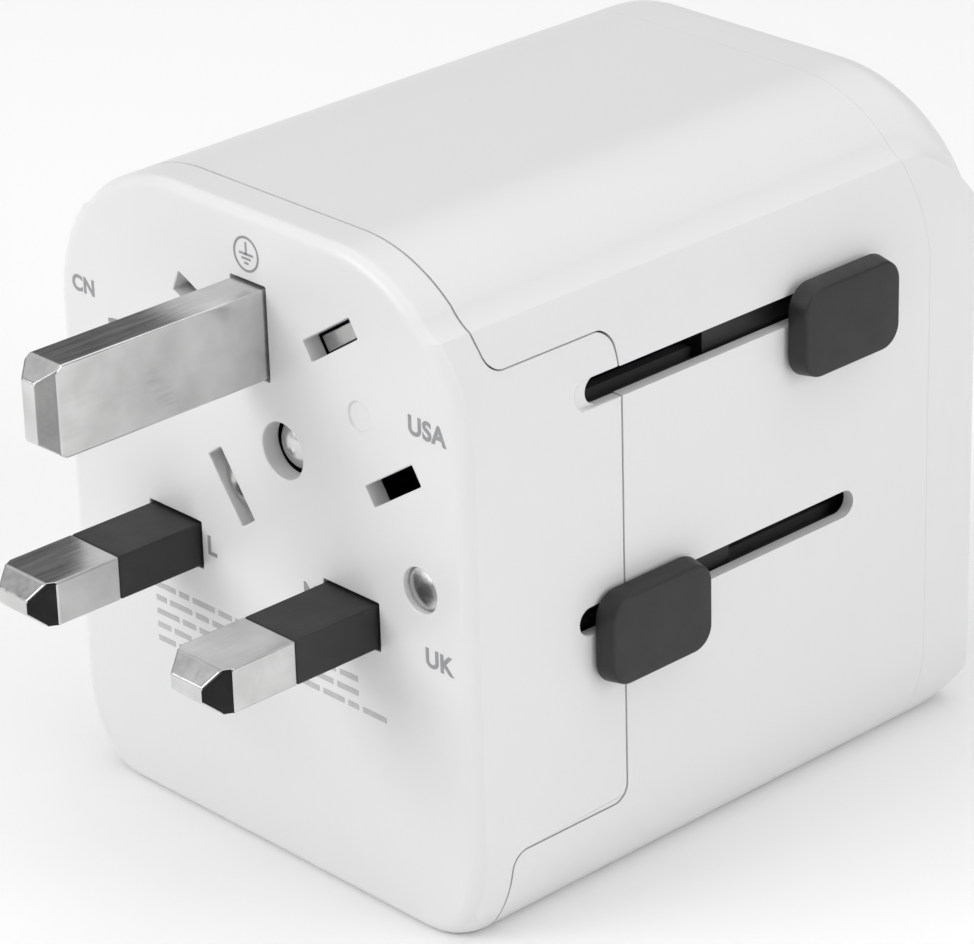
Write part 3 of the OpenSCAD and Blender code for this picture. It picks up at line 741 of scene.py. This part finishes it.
def build_rear_cover(body):
    """The closed end with the socket, behind the rear seam."""
    region = rectangle(REAR_SEAM_Y + REAR_GAP, DEPTH + 2, BOTTOM - BEYOND, TOP + BEYOND)
    cutters = [prism_y(inner_section(WALL), HOLLOW_FROM_Y, STEP_Y),
               prism_y(inner_section(RIM), NARROW_CUT_Y, RIM_END_Y)]
    cutters += rear_openings() + slot_cutters()
    soften(replace_node(carve(part_of(body, region), cutters), "rear_cover"))


def build_housing():
    body = skin()
    build_front_cover(body)
    build_main_shell(body)
    build_rear_cover(body)


# ---------------------------------------------------------------- moving and inner pieces

def build_plain_nodes():
    """Nodes whose CAD shape is right get their finish; guides get a black painted lighter and
    strips a black painted darker, as painted light and shade.
    """
    for node, obj in frame["nodes"].items():
        finish = FINISH[SLOT_OF[node]]
        # guides take a lighter black as painted light, strips a darker black as painted shade
        if node.endswith("_guide"):
            finish = GUIDE_PAINTED_LIGHT
        if node.endswith("_strip"):
            finish = STRIP_PAINTED_SHADE
        obj.data.materials.clear()
        obj.data.materials.append(finish)


UK_EDGE_R = 0.2 * MM
THIN_EDGE_R = 0.15 * MM
CN_EARTH_EDGE_R = 0.35 * MM
FACET_LEAN = 0.3


def paint_facet_reflections(pin, finish):
    """Gives the facets on both sides of a pin's tip a darker metal of their own, as painted
    reflection.
    """
    pin.data.materials.append(finish)
    for face in pin.data.polygons:
        if face.normal.y < -FACET_LEAN and abs(face.normal.x) > FACET_LEAN:
            # these facets take the darker metal: painted reflection
            face.material_index = 1


def build_pins():
    """Every pin and blade with softened edges; the UK pins' tip facets get a darker metal as
    painted reflection.
    """
    paint_facet_reflections(rounded_node("uk_earth_pin", UK_EDGE_R), PAINTED_REFLECTION_GREY)
    for node in ("uk_live_pin", "uk_neutral_pin"):
        paint_facet_reflections(rounded_node(node, UK_EDGE_R), PAINTED_REFLECTION_DARK)
    for node in ("us_live_blade", "us_neutral_blade", "cn_live_blade", "cn_neutral_blade",
                 "us_earth_pin", "eu_pin_1", "eu_pin_2"):
        rounded_node(node, THIN_EDGE_R)
    rounded_node("cn_earth_blade", CN_EARTH_EDGE_R, 4)
    for node in ("uk_live_sleeve", "uk_neutral_sleeve"):
        rounded_node(node, UK_EDGE_R)


KNOB_CLEAR = 0.3
KNOB_EDGE_R = 0.3
KNOB_DRAFT = 0.25
KNOB_CORNER_R = 2.3
KNOB_LEAST_R = 0.35
KNOB_CREASE = math.radians(40)
# the crowned face: how far its rim lies below the middle, then (inset, depth below the middle)
KNOB_RIM_DROP = 0.12
KNOB_CROWN = ((1.3, 0.07), (2.4, 0.02), (3.6, 0))
# the small chamfer at the foot: height above the foot, and inset
KNOB_FOOT = ((0, 0.2), (0.1, 0.05), (0.25, 0.0))


def knob_mesh(node):
    """A finger cap with drafted sides, a tight edge and a slightly crowned face."""
    low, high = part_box(node)
    side = 1 if high.x > 0 else -1
    outer = max(abs(low.x), abs(high.x)) / MM
    base = PANEL_HALF + KNOB_CLEAR
    y0, y1 = (low.y - FACE_Y) / MM, (high.y - FACE_Y) / MM
    z0, z1 = (low.z - LINE_Z) / MM, (high.z - LINE_Z) / MM
    rim = outer - KNOB_RIM_DROP - KNOB_EDGE_R
    profile = [(base + height, inset) for height, inset in KNOB_FOOT]
    for i in range(7):
        turn = math.pi / 2 * i / 6
        profile.append((rim + KNOB_EDGE_R * math.sin(turn),
                        KNOB_DRAFT + KNOB_EDGE_R * (1 - math.cos(turn))))
    profile += [(outer - drop, inset) for inset, drop in KNOB_CROWN]
    rings = []
    for x, inset in profile:
        radius = max(KNOB_CORNER_R - inset, KNOB_LEAST_R)
        ring = rounded_rectangle(y0 + inset, y1 - inset, z0 + inset, z1 - inset, radius, 10)
        rings.append([from_face(side * x, y, z) for y, z in ring])
    return loft(rings, node)


def build_knobs():
    for node in ("uk_knob", "us_knob", "cn_knob", "eu_knob"):
        piece = replace_node(knob_mesh(node), node)
        piece.data.shade_smooth()
        piece.data.set_sharp_from_angle(angle=KNOB_CREASE)


# ---------------------------------------------------------------- printed marks

PRINT_PROUD = 0.03
# a capital's height as a share of the font's size, and extra weight as a share of its height
FONT_CAP = 0.7
LETTER_WEIGHT = 0.045
LETTER_SPACING = 1.06


def face_mark(mesh, name, ink):
    """A printed mark on the pin face; its drawing is X across and Y up in millimetres."""
    turn = Matrix.Rotation(math.radians(90), 4, "X")
    place = Matrix.Translation((0, FACE_Y, LINE_Z))
    mesh.transform(place @ turn @ Matrix.Scale(MM, 4))
    return add_piece(mesh, name, "housing", ink)


def letters(text, centre, height, name):
    """A short terminal or region mark, centred on a point of the pin face."""
    curve = bpy.data.curves.new(name, "FONT")
    curve.body = text
    curve.size = height / FONT_CAP
    curve.align_x = "CENTER"
    curve.align_y = "CENTER"
    curve.extrude = PRINT_PROUD
    curve.offset = LETTER_WEIGHT * height
    curve.space_character = LETTER_SPACING
    holder = bpy.data.objects.new(name, curve)
    bpy.context.scene.collection.objects.link(holder)
    bpy.context.view_layer.update()
    mesh = bpy.data.meshes.new_from_object(holder)
    bpy.data.objects.remove(holder)
    mesh.transform(Matrix.Translation((*centre, 0)))
    return face_mark(mesh, name, PRINT)


def bar_mesh(bars, name):
    """Flat printed bars, each given as (centre x, centre y, width, height, turn)."""
    mesh = bpy.data.meshes.new(name)
    work = bmesh.new()
    for x, y, width, height, turn in bars:
        made = bmesh.ops.create_cube(work, size=1.0)["verts"]
        place = (Matrix.Translation((x, y, 0)) @ Matrix.Rotation(turn, 4, "Z")
                 @ Matrix.Diagonal((width, height, 2 * PRINT_PROUD, 1)))
        bmesh.ops.transform(work, matrix=place, verts=made)
    work.to_mesh(mesh)
    work.free()
    return mesh


EARTH_MARK = (0.0, 28.73)
EARTH_MARK_R = 1.45
EARTH_LINE = 0.2
EARTH_RING_BARS = 40
EARTH_RING_LAP = 1.06
EARTH_STEM = 1.1
EARTH_BARS = ((0.0, 1.7), (0.4, 1.1), (0.8, 0.5))


def earth_symbol():
    """The protective-earth sign: a ring, a stem and three bars that shorten downwards."""
    x, y = EARTH_MARK
    step = 2 * math.pi / EARTH_RING_BARS
    bars = []
    for i in range(EARTH_RING_BARS):
        turn = i * step
        bars.append((x + EARTH_MARK_R * math.cos(turn), y + EARTH_MARK_R * math.sin(turn),
                     EARTH_MARK_R * step * EARTH_RING_LAP, EARTH_LINE, turn + math.pi / 2))
    bars.append((x, y + 0.5, EARTH_LINE, EARTH_STEM, 0))
    for drop, width in EARTH_BARS:
        bars.append((x, y - drop, width, EARTH_LINE, 0))
    return face_mark(bar_mesh(bars, "mark_earth"), "mark_earth", PRINT)


ROW_START = -14.4
ROW_TOP = -5.8
ROW_STEP = 1.3
ROW_ENDS = (11.5, 10.0, 15.0, -4.0, -6.5)
DASHES = (2.6, 1.3, 2.9, 1.7, 2.2)
DASH_GAP = 0.5
DASH_HEIGHT = 0.5
HOLE_CLEAR = 2.6


def rating_rows():
    """Rows of plain dashes where a small paragraph of ratings is printed."""
    bars = []
    for row, end in enumerate(ROW_ENDS):
        x = ROW_START
        y = ROW_TOP - ROW_STEP * row
        turn = row
        while x < end:
            width = DASHES[turn % len(DASHES)]
            clear = all(abs(y - hole_z) > HOLE_CLEAR or x + width < hole_x - HOLE_CLEAR
                        or x > hole_x + HOLE_CLEAR for hole_x, hole_z in EU_HOLES)
            if clear:
                bars.append((x + width / 2, y, width, DASH_HEIGHT, 0))
            x += width + DASH_GAP
            turn += 1
    return face_mark(bar_mesh(bars, "mark_ratings"), "mark_ratings", PALE_PRINT)


def build_marks():
    letters("L", (-6.5, 0.25), 1.7, "mark_live")
    letters("N", (6.1, 0.1), 1.7, "mark_neutral")
    letters("USA", (20.95, 19.5), 1.6, "mark_usa")
    letters("UK", (21.5, -0.7), 1.6, "mark_uk")
    letters("CN", (-21.7, 19.8), 1.4, "mark_cn")
    earth_symbol()
    rating_rows()


# ---------------------------------------------------------------- stage

CAMERA_PLACE = Vector((258.66, -245.45, 192.13)) * MM
CAMERA_AZIMUTH = math.radians(47.11)
CAMERA_ELEVATION = math.radians(25.05)
CAMERA_ROLL = math.radians(-1.63)
CAMERA_LENS = 165.9


def build_camera():
    """A camera at the photograph's angle, turned a little about its own line of sight."""
    data = bpy.data.cameras.new("camera")
    data.lens = CAMERA_LENS
    data.clip_start = 0.01
    camera = bpy.data.objects.new("camera", data)
    bpy.context.scene.collection.objects.link(camera)
    back = Vector((
        math.sin(CAMERA_AZIMUTH) * math.cos(CAMERA_ELEVATION),
        -math.cos(CAMERA_AZIMUTH) * math.cos(CAMERA_ELEVATION),
        math.sin(CAMERA_ELEVATION),
    ))
    level = Vector((math.cos(CAMERA_AZIMUTH), math.sin(CAMERA_AZIMUTH), 0))
    upright = back.cross(level)
    right = math.cos(CAMERA_ROLL) * level + math.sin(CAMERA_ROLL) * upright
    up = back.cross(right)
    turn = Matrix((right, up, back)).transposed().to_4x4()
    camera.matrix_world = Matrix.Translation(CAMERA_PLACE) @ turn
    bpy.context.scene.camera = camera


def area_light(name, place, size, power):
    """A soft rectangular light aimed at the middle of the object."""
    data = bpy.data.lights.new(name, "AREA")
    data.shape = "RECTANGLE"
    data.size, data.size_y = size
    data.energy = power
    light = bpy.data.objects.new(name, data)
    bpy.context.scene.collection.objects.link(light)
    light.location = place
    towards = Vector(LIGHT_AIM) - Vector(place)
    light.rotation_euler = towards.to_track_quat("-Z", "Y").to_euler()


LIGHT_AIM = (0, 0, 0.03)
KEY_POWER = 3.8
FILL_POWER = 2.7
TOP_POWER = 1.9
FLOOR_REACH = 6.0
WORLD_STRENGTH = 0.8
# (height, brightness): height 0 is the horizon and all below it, 1 is straight up
WORLD_BANDS = ((0.0, 0.8), (0.15, 0.75), (0.3, 0.12), (0.5, 0.12), (0.64, 1.0))


def build_stage():
    """The floor, the surroundings and the lights."""
    mesh = bpy.data.meshes.new("floor")
    work = bmesh.new()
    bmesh.ops.create_grid(work, x_segments=1, y_segments=1, size=FLOOR_REACH)
    work.to_mesh(mesh)
    work.free()
    floor = bpy.data.objects.new("floor", mesh)
    bpy.context.scene.collection.objects.link(floor)
    mesh.materials.append(floor_material())
    build_world()
    area_light("key", (-0.35, -0.75, 0.45), (0.6, 0.5), KEY_POWER)
    area_light("fill", (0.85, 0.15, 0.4), (0.6, 0.5), FILL_POWER)
    area_light("top", (0.0, 0.1, 0.9), (0.9, 0.9), TOP_POWER)


def build_world():
    """Studio surroundings: bright low down and overhead, with a darker band between them."""
    world = bpy.data.worlds.new("studio")
    bpy.context.scene.world = world
    world.use_nodes = True
    tree = world.node_tree
    coords = tree.nodes.new("ShaderNodeTexCoord")
    split = tree.nodes.new("ShaderNodeSeparateXYZ")
    ramp = tree.nodes.new("ShaderNodeValToRGB")
    tree.links.new(coords.outputs["Generated"], split.inputs["Vector"])
    tree.links.new(split.outputs["Z"], ramp.inputs["Fac"])
    tree.links.new(ramp.outputs["Color"], tree.nodes["Background"].inputs["Color"])
    stops = ramp.color_ramp.elements
    while len(stops) < len(WORLD_BANDS):
        stops.new(0.5)
    for stop, (height, level) in zip(stops, WORLD_BANDS):
        stop.position = height
        stop.color = (level, level, level, 1)
    tree.nodes["Background"].inputs["Strength"].default_value = WORLD_STRENGTH


bpy.context.scene.view_settings.view_transform = "Standard"
build_plain_nodes()
build_housing()
build_pins()
build_knobs()
build_marks()
build_camera()
build_stage()
